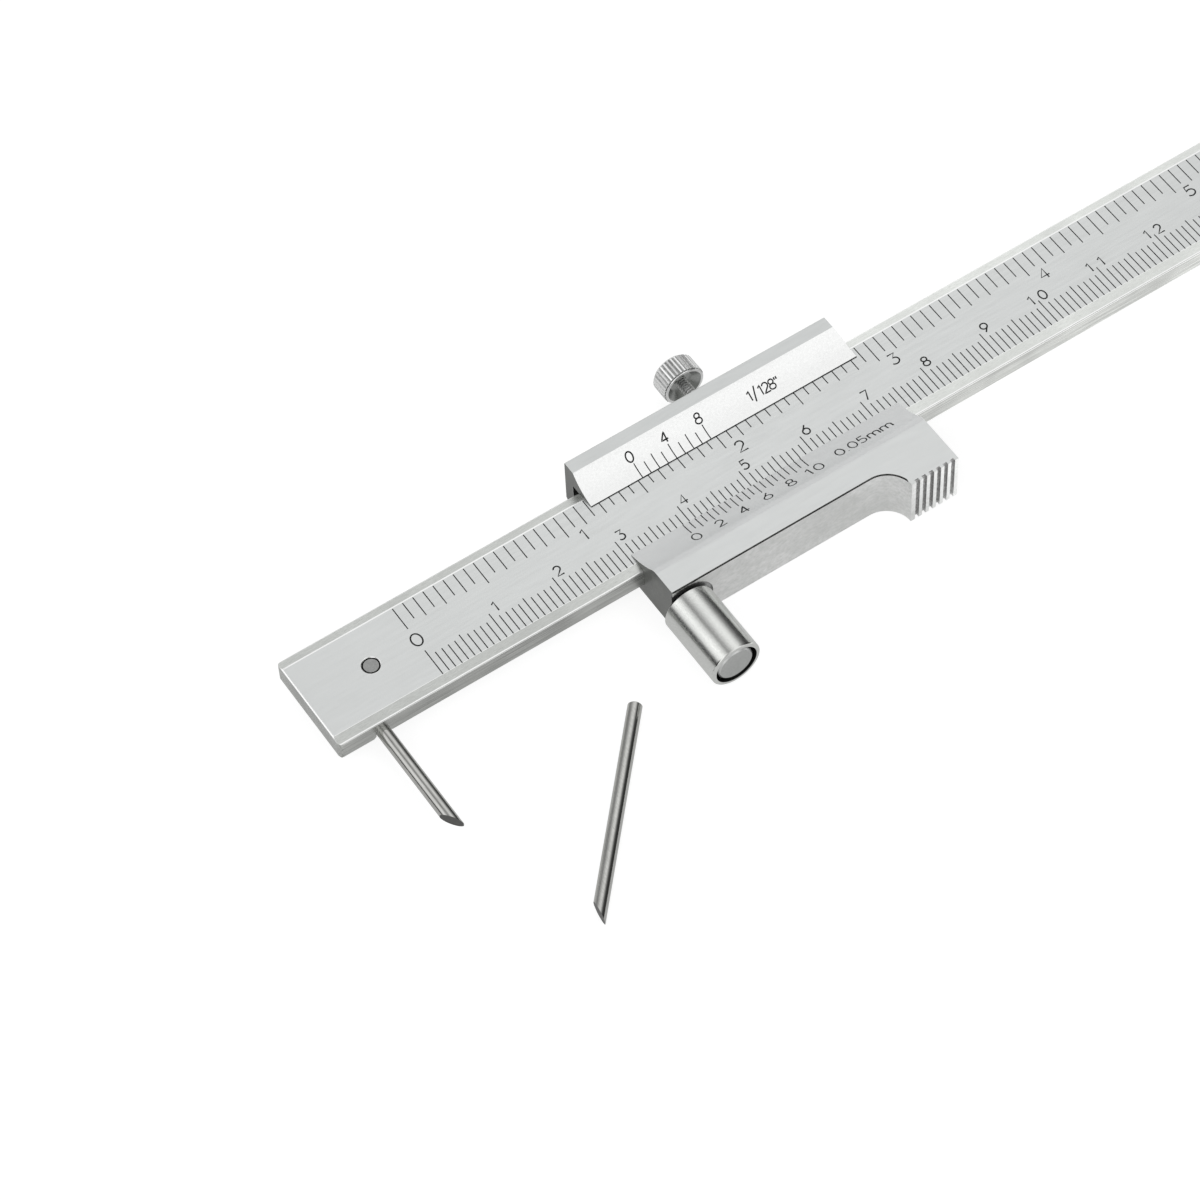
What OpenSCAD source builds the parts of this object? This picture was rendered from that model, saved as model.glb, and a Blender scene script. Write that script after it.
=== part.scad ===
// Marking caliper: a bevelled beam, a slider with a roller guide, a clamped scriber needle
// and a spare needle beside it. X runs along the beam, Z up; the tool lies on the slider's back.

/* [Beam] */
// Length of the beam
beam_length = 257; // [150:1:400]
// Width of the beam over its bevels
beam_width = 15.6; // [14:0.2:18]
// Thickness of the beam
beam_thickness = 3.5; // [3:0.1:4.5]
// Width of each front bevel of the beam
beam_bevel_width = 1.5; // [0.8:0.1:2]
// Depth of each front bevel of the beam
beam_bevel_depth = 0.35; // [0.2:0.05:0.6]
// Chamfer on the beam's end edges
beam_end_chamfer = 0.25; // [0.1:0.05:0.5]

/* [Slider] */
// Distance from the scriber's point to the roller, as the scales show it
reading = 38.85; // [20:0.05:120]
// How much nearer to the roller the point stands than the scales show
setting_error = 0.5; // [0:0.05:0.6]
// Length of the slider
slider_length = 43.5; // [38:0.5:60]
// Thickness of the slider from its back to its front face
slider_thickness = 8.4; // [7.8:0.1:10]
// Thickness of the plate that closes the channel behind the beam
floor_thickness = 1.95; // [1.6:0.05:2.6]
// Thickness of the wall above the gib
upper_wall = 1.9; // [1.4:0.05:3]
// Width of the flat ridge on the upper rail
ridge_width = 2.1; // [1.2:0.05:3]
// How far the upper vernier lip reaches over the beam
upper_lip_reach = 3.2; // [2.4:0.1:4]
// How far the lower vernier lip reaches over the beam
lower_lip_reach = 2.95; // [2.4:0.05:3.6]
// Radius of the hollow slope of the upper vernier
upper_slope_radius = 6.5; // [5:0.5:12]
// Width of the hollow slope of the lower vernier
lower_slope_width = 5.45; // [4.6:0.05:6.5]
// Radius of the hollow slope of the lower vernier
lower_slope_radius = 12; // [9:0.5:24]
// Thickness of both vernier lips at their edge
lip_edge = 0.1; // [0.05:0.01:0.2]
// Depth of the jaw below the beam
jaw_depth = 6.9; // [6.4:0.05:12]
// Width of the slot that the gib lies in
gib_slot = 1.3; // [1.1:0.05:1.6]
// How far the right end of the upper rail leans back at its top
end_slant = 1; // [0:0.1:2]

/* [Thumb rest] */
// Length of the thumb rest
rest_length = 7.65; // [5:0.05:10]
// How far the thumb rest stands below the jaw
rest_drop = 3.95; // [3:0.05:6]
// Distance between grooves
groove_pitch = 1.15; // [1:0.05:1.4]
// Width of a groove
groove_width = 0.6; // [0.4:0.05:0.8]
// Depth of a groove
groove_depth = 0.5; // [0.3:0.05:0.8]

/* [Roller] */
// Diameter of the guide roller
roller_diameter = 7.6; // [7.2:0.1:8.4]
// Length of the guide roller
roller_length = 11.2; // [8:0.1:16]
// Distance of the roller's axis from the slider's left end
roller_inset = 2.2; // [2:0.05:3.4]
// Gap under the roller when the tool lies on its back
roller_lift = 0.1; // [0.05:0.05:0.6]
// How far the spot face around the roller's pin reaches past the roller
spot_margin = 0.4; // [0.1:0.05:0.8]
// Depth of the spot face
spot_depth = 0.3; // [0.1:0.05:0.5]
// Thickness of the spacer between jaw and roller
spacer_thickness = 0.55; // [0.4:0.05:2]
// Diameter of the spacer
spacer_diameter = 5.6; // [5:0.1:6.4]
// Diameter of the journal that the roller turns on
journal_diameter = 4; // [3.4:0.1:4.4]
// Diameter of the pin's stem in the jaw
stem_diameter = 3; // [2:0.1:3]
// Length of the pin's stem in the jaw
stem_length = 5.2; // [4:0.1:5.6]
// Thickness of the pin's head
pin_head_height = 1.2; // [0.8:0.1:2]
// Gap around the pin's head
pin_head_gap = 0.45; // [0.3:0.05:0.6]
// Thickness of the roller's rim around the pin's head
roller_rim = 0.6; // [0.4:0.05:0.7]

/* [Scriber] */
// Diameter of the scriber needles
needle_diameter = 2; // [1.5:0.1:2.2]
// Length of the scriber needles
needle_length = 33; // [28:0.5:40]
// How far the fitted needle stands out below the beam
needle_reach = 17.9; // [12:0.1:22]
// Distance of the needle's axis from the beam's left end
needle_inset = 6.6; // [5.5:0.1:7]
// Length of the ground face at the needle's point
facet_length = 2.8; // [2:0.1:6]

/* [Needle clamp] */
// Distance between the needle's axis and the clamp screw
clamp_pitch = 3.4; // [3.4:0.1:6]
// Distance of the clamp screw from the beam's middle line
clamp_offset = 0.25; // [0:0.05:0.5]
// Diameter of the clamp screw
clamp_screw_diameter = 2.4; // [2:0.1:2.6]
// Diameter of the clamp screw's head
clamp_head_diameter = 4.4; // [4:0.1:4.6]
// Gap under the clamp screw's head when the tool lies on its back
clamp_head_lift = 0.28; // [0.2:0.02:0.4]
// Width of the clamp plate across the beam
clamp_plate_width = 8; // [6:0.5:10]
// Thickness of the clamp plate
clamp_plate_thickness = 0.8; // [0.6:0.05:0.8]

/* [Lock screw] */
// Distance of the lock screw from the slider's left end
lock_inset = 22.25; // [18:0.25:24]
// Diameter of the lock screw's knob
knob_diameter = 6.4; // [5:0.1:7]
// Length of the knob
knob_length = 3.4; // [2.6:0.1:5]
// Gap between the slider and the knob
knob_gap = 4.1; // [2:0.1:6]
// Number of flutes around the knob
flute_count = 34; // [24:2:44]
// Depth of the flutes
flute_depth = 0.2; // [0.1:0.05:0.3]
// Thickness of the knob's rim around the hollow in its inner face
knob_rim = 0.35; // [0.2:0.05:0.8]
// Depth of the hollow in the knob's inner face
dish_depth = 1; // [0.5:0.1:1.4]
// Diameter of the threaded stud
stud_diameter = 1.7; // [1.6:0.1:2.4]
// How far the gib ends inside the slider
gib_inset = 3.75; // [1:0.25:6]
// Thickness of the gib
gib_thickness = 0.8; // [0.6:0.05:0.8]

/* [Spare needle] */
// Distance of the spare needle's blunt end from the roller's axis, along the beam
spare_gap = 13.35; // [11:0.05:25]
// Distance of the spare needle's blunt end from the jaw, across the beam
spare_drop = 7.45; // [5:0.05:20]
// Angle between the spare needle and the fitted one
spare_angle = 42.3; // [0:0.1:60]

/* [Hidden] */
$fn = 96;
// running clearance between the beam and the slider
slide_clearance = 0.05;
// radial clearance of what turns or slides in a bore
fit_clearance = 0.03;
// gap between faces that lie against each other on different bodies
seat_gap = 0.02;
// how far a cutting shape runs past what it cuts
overrun = 1;

// beam, across Y and up Z
beam_back = floor_thickness + slide_clearance;
beam_front = beam_back + beam_thickness;
beam_edge = beam_width / 2;
beam_edge_break = 0.15;
slot_play = 0.02;
slot_mouth = 0.5;

// slider
slider_left = -slider_length / 2;
slider_right = slider_length / 2;
slider_edge_break = 0.12;
back_corner = 0.5;
channel_lower = -beam_edge - slide_clearance;
channel_upper = beam_edge + gib_slot;
slider_top = channel_upper + upper_wall;
lip_under = beam_front + slide_clearance;
lip_top = lip_under + lip_edge;
upper_lip_y = beam_edge - upper_lip_reach;
upper_slope_width = slider_top - ridge_width - upper_lip_y;
lower_lip_y = -beam_edge + lower_lip_reach;
lower_slope_y = lower_lip_y - lower_slope_width;
jaw_y = -beam_edge - jaw_depth;
rest_y = jaw_y - rest_drop;
rest_x = slider_right - rest_length;
first_groove = 0.7;
groove_count = floor((rest_length - first_groove) / groove_pitch);

// roller and its pin
roller_radius = roller_diameter / 2;
roller_x = slider_left + roller_inset;
roller_z = roller_radius + roller_lift;
spot_radius = roller_radius + spot_margin;
counterbore_radius = roller_radius - roller_rim;
pin_head_radius = counterbore_radius - pin_head_gap;
roller_axial_play = 0.05;
spot_y = jaw_y + spot_depth;
roller_top = spot_y - spacer_thickness - roller_axial_play;
roller_edge_radius = 0.3;
pin_head_chamfer = 0.25;
pin_head_sink = 0.1;
counterbore_depth = pin_head_height + roller_axial_play + pin_head_sink;
journal_length = spot_y - roller_top + roller_length - counterbore_depth + roller_axial_play;

// scriber: its point stands off the roller by the reading, less the setting error
needle_radius = needle_diameter / 2;
needle_tip_flat = 0.12;
needle_end_chamfer = 0.2;
needle_proud = 0.05;
beam_left = roller_x - roller_radius - reading + setting_error - needle_inset - needle_radius;
needle_x = beam_left + needle_inset;
needle_z = beam_back + needle_radius - needle_proud;
needle_tip_y = -beam_edge - needle_reach;

// needle clamp
clamp_x = needle_x + clamp_pitch;
clamp_plate_z = beam_back - needle_proud - seat_gap;
clamp_needle_margin = 1.8;
clamp_screw_margin = 2.6;
clamp_plate_left = needle_x - clamp_needle_margin;
clamp_plate_right = clamp_x + clamp_screw_margin;
clamp_under = clamp_plate_z - clamp_plate_thickness;
clamp_plate_corner = 0.6;
clamp_heel_length = 1.2;
clamp_screw_sink = 0.1;
clamp_hole_chamfer = 0.15;
clamp_plate_play = 0.15;
clamp_slot_width = 0.6;
clamp_slot_depth = 0.4;
clamp_head_chamfer = 0.15;

// lock screw and gib
lock_x = slider_left + lock_inset;
lock_z = beam_back + beam_thickness / 2;
gib_y = beam_edge + fit_clearance;
gib_clearance = 0.1;
gib_bottom = floor_thickness + gib_clearance;
gib_top = lip_under - beam_bevel_depth - gib_clearance;
gib_dimple_diameter = 1.2;
gib_dimple_depth = 0.25;
stud_tip = gib_y + gib_thickness - gib_dimple_depth;
stud_cone = 0.45;
stud_tip_diameter = 0.8;
knob_y = slider_top + knob_gap;
knob_collar = 0.14;
knob_groove = 0.1;
knob_groove_depth = 0.25;
knob_collar_inset = 0.15;
knob_end_chamfer = 0.45;
dish_floor_radius = 1.7;
stud_seat = 1.5;

// spare needle
spare_x = roller_x - spare_gap;
spare_y = jaw_y - spare_drop;

steel = [0.80, 0.81, 0.80];
bright_steel = [0.86, 0.87, 0.86];
dark_steel = [0.55, 0.56, 0.55];

// a turned part whose axis leaves along -Y from the point at
module turned_down(at) {
    translate(at) rotate([90, 0, 0]) children();
}

// a turned part whose axis leaves along +Y from the point at
module turned_up(at) {
    translate(at) rotate([-90, 0, 0]) children();
}

// a profile in Y and Z drawn out along X
module along_x(from, length) {
    translate([from, 0, 0]) rotate([90, 0, 90]) linear_extrude(length) children();
}

// a profile in X and Z drawn out along Y
module along_y(from, length) {
    translate([0, from + length, 0]) rotate([90, 0, 0]) linear_extrude(length) children();
}

module beam_profile() {
    polygon([
        [-beam_edge + beam_edge_break, beam_back],
        [beam_edge - beam_edge_break, beam_back],
        [beam_edge, beam_back + beam_edge_break],
        [beam_edge, beam_front - beam_bevel_depth - beam_edge_break],
        [beam_edge - beam_edge_break, beam_front - beam_bevel_depth],
        [beam_edge - beam_bevel_width, beam_front],
        [-beam_edge + beam_bevel_width, beam_front],
        [-beam_edge + beam_edge_break, beam_front - beam_bevel_depth],
        [-beam_edge, beam_front - beam_bevel_depth - beam_edge_break],
        [-beam_edge, beam_back + beam_edge_break]
    ]);
}

// the beam from the side, its ends chamfered front and back
module beam_side() {
    right = beam_left + beam_length;
    polygon([
        [beam_left, beam_back + beam_end_chamfer],
        [beam_left + beam_end_chamfer, beam_back],
        [right - beam_end_chamfer, beam_back],
        [right, beam_back + beam_end_chamfer],
        [right, beam_front - beam_end_chamfer],
        [right - beam_end_chamfer, beam_front],
        [beam_left + beam_end_chamfer, beam_front],
        [beam_left, beam_front - beam_end_chamfer]
    ]);
}

// a round-topped slot across the back of the beam, with a splayed mouth
module needle_slot() {
    slot_radius = needle_radius + slot_play;
    mouth = slot_radius + slot_mouth;
    translate([needle_x, -beam_edge - overrun, needle_z]) rotate([-90, 0, 0])
        cylinder(r = slot_radius, h = beam_width + 2 * overrun);
    along_y(-beam_edge - overrun, beam_width + 2 * overrun) translate([needle_x, 0]) polygon([
        [-slot_radius, needle_z],
        [-slot_radius, beam_back + slot_mouth],
        [-mouth, beam_back],
        [-mouth, beam_back - overrun],
        [mouth, beam_back - overrun],
        [mouth, beam_back],
        [slot_radius, beam_back + slot_mouth],
        [slot_radius, needle_z]
    ]);
}

module beam() {
    color(steel) difference() {
        intersection() {
            along_x(beam_left, beam_length) beam_profile();
            along_y(-beam_edge, beam_width) beam_side();
        }
        needle_slot();
        translate([clamp_x, clamp_offset, beam_back - overrun])
            cylinder(d = clamp_screw_diameter + 2 * fit_clearance, h = beam_thickness + 2 * overrun);
        translate([clamp_x, clamp_offset, beam_front - clamp_hole_chamfer])
            cylinder(d1 = clamp_screw_diameter, d2 = clamp_screw_diameter + 4 * clamp_hole_chamfer,
                h = 2 * clamp_hole_chamfer);
    }
}

// the plate rests on the needle and on its own heel
module clamp_plate() {
    y0 = clamp_offset - clamp_plate_width / 2;
    color(steel) difference() {
        union() {
            translate([clamp_plate_left, y0, clamp_under]) linear_extrude(clamp_plate_thickness)
                rounded_plate(clamp_plate_right - clamp_plate_left, clamp_plate_width);
            translate([clamp_plate_right - clamp_heel_length, y0 + clamp_plate_corner,
                clamp_plate_z - needle_proud])
                cube([clamp_heel_length, clamp_plate_width - 2 * clamp_plate_corner, 2 * needle_proud]);
        }
        translate([clamp_x, clamp_offset, clamp_under - overrun])
            cylinder(d = clamp_screw_diameter + 2 * clamp_plate_play,
                h = clamp_plate_thickness + 2 * overrun);
    }
}

module rounded_plate(length, width) {
    union() {
        translate([clamp_plate_corner, 0]) square([length - 2 * clamp_plate_corner, width]);
        translate([0, clamp_plate_corner]) square([length, width - 2 * clamp_plate_corner]);
        for (x = [clamp_plate_corner, length - clamp_plate_corner])
            for (y = [clamp_plate_corner, width - clamp_plate_corner])
                translate([x, y]) circle(clamp_plate_corner);
    }
}

module clamp_screw() {
    shank_end = beam_front - clamp_screw_sink;
    head_radius = clamp_head_diameter / 2;
    shank_radius = clamp_screw_diameter / 2;
    color(dark_steel) translate([clamp_x, clamp_offset, 0]) difference() {
        rotate_extrude() polygon([
            [0, clamp_head_lift],
            [head_radius - clamp_head_chamfer, clamp_head_lift],
            [head_radius, clamp_head_lift + clamp_head_chamfer],
            [head_radius, clamp_under],
            [shank_radius, clamp_under],
            [shank_radius, shank_end - clamp_head_chamfer],
            [shank_radius - clamp_head_chamfer, shank_end],
            [0, shank_end]
        ]);
        translate([-head_radius - overrun, -clamp_slot_width / 2, clamp_head_lift - overrun])
            cube([clamp_head_diameter + 2 * overrun, clamp_slot_width, clamp_slot_depth + overrun]);
    }
}

// a needle along +Z, ground obliquely so that its point is at +X
module needle() {
    difference() {
        rotate_extrude() polygon([
            [0, 0],
            [needle_radius - needle_end_chamfer, 0],
            [needle_radius, needle_end_chamfer],
            [needle_radius, needle_length],
            [0, needle_length]
        ]);
        translate([0, needle_diameter, 0]) rotate([90, 0, 0]) linear_extrude(2 * needle_diameter) polygon([
            [needle_radius, needle_length + needle_tip_flat],
            [-needle_radius, needle_length - facet_length],
            [-needle_diameter, needle_length - facet_length * 1.5],
            [-needle_diameter, needle_length + facet_length],
            [needle_radius, needle_length + facet_length]
        ]);
    }
}

module scriber_needle() {
    color(bright_steel) turned_down([needle_x, needle_tip_y + needle_length, needle_z]) needle();
}

module spare_needle() {
    color(bright_steel) translate([spare_x, spare_y, needle_radius])
        rotate([0, 0, -spare_angle]) rotate([90, 0, 0]) needle();
}

// the channel round the beam, its ceiling following the beam's bevels
module slider_profile() {
    bevel_end = lip_under - beam_bevel_depth;
    polygon([
        [jaw_y, 0],
        [slider_top - back_corner, 0],
        [slider_top, back_corner],
        [slider_top, slider_thickness - slider_edge_break],
        [slider_top - slider_edge_break, slider_thickness],
        [upper_lip_y, slider_thickness],
        [upper_lip_y, lip_under],
        [beam_edge - beam_bevel_width, lip_under],
        [beam_edge, bevel_end],
        [channel_upper, bevel_end],
        [channel_upper, floor_thickness],
        [channel_lower, floor_thickness],
        [channel_lower, bevel_end],
        [-beam_edge, bevel_end],
        [-beam_edge + beam_bevel_width, lip_under],
        [lower_lip_y, lip_under],
        [lower_lip_y, slider_thickness],
        [jaw_y, slider_thickness]
    ]);
}

// the thumb rest in plan, rooted in the jaw and blended into it by a round hollow
module thumb_rest_plan() {
    blend_x = rest_x - rest_drop;
    difference() {
        translate([blend_x, rest_y]) square([slider_right - blend_x, lower_slope_y - rest_y]);
        translate([blend_x, rest_y]) circle(rest_drop);
    }
}

// a hollow slope: a cylinder through the lip's edge and the front face's edge; side is 1
// where the slope rises towards +Y and -1 where it rises towards -Y
module slope_cut(lip_y, side, width, radius) {
    rise = slider_thickness - lip_top;
    chord = norm([width, rise]);
    height = sqrt(radius * radius - chord * chord / 4);
    middle_y = lip_y + side * width / 2;
    centre_y = middle_y - side * height * rise / chord;
    centre_z = lip_top + rise / 2 + height * width / chord;
    intersection() {
        translate([slider_left - overrun, centre_y, centre_z]) rotate([0, 90, 0])
            cylinder(r = radius, h = slider_length + 2 * overrun, $fn = 4 * $fn);
        translate([slider_left - overrun, middle_y - width / 2 - overrun, beam_front])
            cube([slider_length + 2 * overrun, width + 2 * overrun, slider_thickness]);
    }
}

module thumb_grooves() {
    for (i = [0 : groove_count - 1])
        translate([rest_x + first_groove + i * groove_pitch, rest_y - overrun, -overrun])
            cube([groove_width, groove_depth + overrun, slider_thickness + 2 * overrun]);
}

// the right end of the upper rail leans back from the lip's edge to the front face
module end_slant_cut() {
    along_y(0, slider_top + overrun) polygon([
        [slider_right, lip_top],
        [slider_right + overrun, lip_top],
        [slider_right + overrun, slider_thickness + overrun],
        [slider_right - end_slant, slider_thickness + overrun],
        [slider_right - end_slant, slider_thickness]
    ]);
}

module slider_body() {
    color(steel) difference() {
        union() {
            along_x(slider_left, slider_length) slider_profile();
            linear_extrude(slider_thickness) thumb_rest_plan();
        }
        slope_cut(upper_lip_y, 1, upper_slope_width, upper_slope_radius);
        slope_cut(lower_lip_y, -1, lower_slope_width, lower_slope_radius);
        thumb_grooves();
        if (end_slant > 0) end_slant_cut();
        turned_down([roller_x, spot_y, roller_z]) cylinder(r = spot_radius, h = rest_drop);
        turned_up([roller_x, spot_y - overrun, roller_z])
            cylinder(d = stem_diameter, h = stem_length + overrun);
        turned_up([lock_x, channel_upper - overrun, lock_z])
            cylinder(d = stud_diameter + 2 * fit_clearance, h = upper_wall + 2 * overrun);
    }
}

// a flat strip with a dimple that the lock screw's point sits in
module gib_strip() {
    color(dark_steel) difference() {
        translate([slider_left + gib_inset, gib_y, gib_bottom])
            cube([slider_length - 2 * gib_inset, gib_thickness, gib_top - gib_bottom]);
        turned_up([lock_x, stud_tip, lock_z])
            cylinder(d = gib_dimple_diameter, h = gib_dimple_depth + overrun);
    }
}

module lock_stud() {
    radius = stud_diameter / 2;
    tip = stud_tip + seat_gap;
    length = knob_y + dish_depth + stud_seat - tip;
    color(bright_steel) turned_up([lock_x, tip, lock_z]) rotate_extrude() polygon([
        [0, 0],
        [stud_tip_diameter / 2, 0],
        [stud_tip_diameter / 2, gib_dimple_depth],
        [radius, gib_dimple_depth + stud_cone],
        [radius, length],
        [0, length]
    ]);
}

// the knob's fluted outline
module flutes() {
    outer = knob_diameter / 2;
    inner = outer - flute_depth;
    land_share = 0.2;
    polygon([
        for (i = [0 : flute_count - 1]) each [
            outer * [cos(360 * (i - land_share) / flute_count), sin(360 * (i - land_share) / flute_count)],
            outer * [cos(360 * (i + land_share) / flute_count), sin(360 * (i + land_share) / flute_count)],
            inner * [cos(360 * (i + 0.5) / flute_count), sin(360 * (i + 0.5) / flute_count)]
        ]
    ]);
}

module lock_knob() {
    outer = knob_diameter / 2;
    waist = outer - knob_groove_depth;
    collar = outer - knob_collar_inset;
    fluted_from = knob_collar + knob_groove;
    color(bright_steel) turned_up([lock_x, knob_y, lock_z]) difference() {
        union() {
            intersection() {
                translate([0, 0, fluted_from]) linear_extrude(knob_length - fluted_from) flutes();
                rotate_extrude() polygon([
                    [0, 0],
                    [outer, 0],
                    [outer, knob_length - knob_end_chamfer],
                    [outer - knob_end_chamfer, knob_length],
                    [0, knob_length]
                ]);
            }
            rotate_extrude() polygon([
                [0, 0],
                [collar, 0],
                [collar, knob_collar],
                [waist, fluted_from],
                [waist, knob_length / 2],
                [0, knob_length / 2]
            ]);
        }
        rotate_extrude() polygon([
            [0, -overrun],
            [collar - knob_rim, -overrun],
            [collar - knob_rim, 0],
            [dish_floor_radius, dish_depth],
            [0, dish_depth]
        ]);
        cylinder(d = stud_diameter, h = dish_depth + stud_seat);
    }
}

module roller_spacer() {
    color(steel) turned_down([roller_x, spot_y, roller_z]) difference() {
        cylinder(d = spacer_diameter, h = spacer_thickness);
        translate([0, 0, -overrun])
            cylinder(d = journal_diameter + 2 * fit_clearance, h = spacer_thickness + 2 * overrun);
    }
}

module guide_roller() {
    bore = journal_diameter / 2 + fit_clearance;
    bend = roller_edge_radius;
    recess_floor = roller_length - counterbore_depth;
    steps = 6;
    color(bright_steel) turned_down([roller_x, roller_top, roller_z]) rotate_extrude() polygon(concat(
        [[bore, 0], [roller_radius - bend / 2, 0], [roller_radius, bend / 2]],
        [
            for (i = [0 : steps])
                [roller_radius - bend + bend * cos(90 * i / steps),
                    roller_length - bend + bend * sin(90 * i / steps)]
        ],
        [[counterbore_radius, roller_length], [counterbore_radius, recess_floor], [bore, recess_floor]]
    ));
}

module roller_pin() {
    journal = journal_diameter / 2;
    stem = stem_diameter / 2;
    head = pin_head_radius;
    length = journal_length + pin_head_height;
    color(steel) turned_down([roller_x, spot_y, roller_z]) rotate_extrude() polygon([
        [0, -stem_length],
        [stem, -stem_length],
        [stem, 0],
        [journal, 0],
        [journal, journal_length],
        [head, journal_length],
        [head, length - pin_head_chamfer],
        [head - pin_head_chamfer, length],
        [0, length]
    ]);
}

beam();
clamp_plate();
clamp_screw();
scriber_needle();
slider_body();
gib_strip();
lock_stud();
lock_knob();
roller_spacer();
roller_pin();
guide_roller();
spare_needle();
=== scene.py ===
"""Marking caliper: ground and polished steel, engraved scales and verniers, soft studio light."""
import math

import bpy
from mathutils import Matrix, Vector


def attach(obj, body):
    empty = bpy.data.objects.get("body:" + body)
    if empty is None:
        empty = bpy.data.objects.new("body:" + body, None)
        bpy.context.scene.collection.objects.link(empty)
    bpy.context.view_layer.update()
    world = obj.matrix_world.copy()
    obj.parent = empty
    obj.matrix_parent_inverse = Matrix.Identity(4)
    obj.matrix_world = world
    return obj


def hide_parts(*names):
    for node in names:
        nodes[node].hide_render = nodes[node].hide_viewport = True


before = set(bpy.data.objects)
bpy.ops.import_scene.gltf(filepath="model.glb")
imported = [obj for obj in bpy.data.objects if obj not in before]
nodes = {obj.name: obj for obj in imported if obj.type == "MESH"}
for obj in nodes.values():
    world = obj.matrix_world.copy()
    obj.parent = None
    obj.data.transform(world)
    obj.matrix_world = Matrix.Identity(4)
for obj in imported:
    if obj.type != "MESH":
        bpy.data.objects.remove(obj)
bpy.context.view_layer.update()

MM = 0.001

# ---------------------------------------------------------------- sizes, in millimetres
# The camera: the photograph's angle, distance and lens
CAMERA_AZIMUTH = -31.06
CAMERA_ELEVATION = 56.14
CAMERA_ROLL = -3.29
CAMERA_DISTANCE = 592.3
CAMERA_TARGET = (-29.09, -8.42, 5.5)
CAMERA_LENS = 135.0
SENSOR = 36.0

# The beam's front face and its scales
BEAM_FRONT = 5.5
BEAM_EDGE = 7.8
FLAT_EDGE = 6.3
BEVEL_FOOT = (-7.65, 5.15)
BEVEL_SLOPE = 0.35 / 1.35
ZERO_X = -52.3
METRIC_TICKS = 225
METRIC_TICK_TOPS = {10: -1.86, 5: -2.36, 1: -2.83}
METRIC_NUMERAL_Y = -1.36
METRIC_NUMERAL_HEIGHT = 1.55
METRIC_NUMERAL_SHIFT = 1.25
METRIC_TENS_SHIFT = (-0.9, 1.1)
INCH = 25.4
SIXTEENTH = INCH / 16
INCH_TICKS = 142
INCH_TICK_START = 6.12
INCH_TICK_ENDS = {8: 2.25, 2: 2.7, 1: 3.2}
INCH_NUMERAL_Y = 1.45
INCH_NUMERAL_HEIGHT = 1.78
INCH_NUMERAL_SHIFT = 1.8
INCH_NUMERAL_WIDTH_SHARE = 1.1
COMMON_ZERO = (-52.27, 0.17)
COMMON_ZERO_HEIGHT = 2.0

# The beam's left end, the hole above its clamp screw with painted shade on its walls, and the painted
# highlight lines along its edges
LEFT_END = -69.3
END_CHAMFER = (0.2, 0.12)
END_CORNER_RADIUS = 0.7
CORNER_CUTTER_HEIGHT = 8
CLAMP_HOLE = (-59.3, 0.25)
CLAMP_HOLE_REACH = 1.5
FLAT_LINE_WIDTH = 0.11
FOOT_LINE_WIDTH = 0.08
BEAM_EDGE_WIDTH = 0.04

# The roller, its pin and the needles
ROLLER_AXIS = (-19.55, 3.9)
ROLLER_RECESS_RADIUS = 3.3
ROLLER_RECESS_START = -26.15
NEEDLE_RADIUS = 1.0

# The slider: its front face, lip, slopes, jaw, thumb rest and the bevels of its edges, with painted shadows
# along the jaw's front edge and the lip and a painted highlight on the rest
SLIDER_FRONT = 8.4
SLIDER_END_X = 20.5
LIP_TOP = 5.65
LIP_UNDER = 5.6
UPPER_SLOPE_TOP = 8.9
SLOPE_TOP = -10.3
JAW_FRONT = -14.7
CHANNEL_Y = (-7.9, 9.2)
CHANNEL_Z = (1.9, 5.6)
POCKET_RADIUS = 4.3
REST_START_X, REST_END_X = 14.5, 21.6
REST_START_Y, GROOVE_FLOOR_Y = -18, -18.6
# Where the painted shadow runs along the jaw's front edge, and its width
EDGE_SHADOW_X = 18
EDGE_SHADOW_Y = (-18.2, -14.6)
EDGE_SHADOW_WIDTH = 0.17
LIP_BEVEL_WIDTH = 0.07
SEAM_WIDTH = 0.6
SLIDER_EDGE_WIDTH = 0.03

# The hollow slopes: lip edge, direction, width and radius; then the verniers on them
UPPER_SLOPE = dict(lip_y=4.6, side=1, width=4.3, radius=6.5)
LOWER_SLOPE = dict(lip_y=-4.85, side=-1, width=5.45, radius=12.0)
VERNIER_ZERO_X = -13.45
INCH_VERNIER_STEP = 7 * SIXTEENTH / 8
INCH_VERNIER_TICKS = (2.34, 1.86)
INCH_VERNIER_NUMERALS = {"0": -13.56, "4": -7.97, "8": -2.44}
INCH_VERNIER_NUMERAL_ARC = 3.36
INCH_VERNIER_NUMERAL_HEIGHT = 1.5
METRIC_VERNIER_STEP = 0.95
METRIC_VERNIER_TICKS = (2.23, 1.78)
METRIC_VERNIER_NUMERALS = (("0", -13.47), ("2", -9.67), ("4", -5.89), ("6", -2.09), ("8", 1.75),
                           ("1", 4.65), ("0", 6.31))
METRIC_VERNIER_NUMERAL_ARC = 3.62
METRIC_VERNIER_NUMERAL_HEIGHT = 1.8
TICK_START = -0.1

# The legends: text, left edge, middle, height, and the room of each character
INCH_LEGEND = ('1/128"', 5.1, 2.48, 1.42, {"digit": 1.0, "1": 0.82, "/": 0.98, '"': 0.6})
METRIC_LEGEND = ("0.05mm", 9.35, -3.07, 1.7, {"digit": 1.5, ".": 0.6, "m": 2.1})

# The engraver's cut
TICK_WIDTH = 0.17
NUMERAL_WIDTH = 0.23
CUT_DEPTH = 0.05
STROKE_STEP = 0.28

# The lock screw: its stud with the thread, and its knob
STUD_X, STUD_Z = 0.5, 3.75
STUD_RADIUS = 0.85
THREAD_ROOT = 0.6
THREAD_PITCH = 0.4
THREAD_START, THREAD_END = 10.4, 15.9
THREAD_STEPS = 36
THREAD_OVERRUN = 0.1
THREAD_FLANK_SHARE = 0.8
KNOB_FACE = 15.1
KNOB_DISH_RADIUS = 2.6

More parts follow.
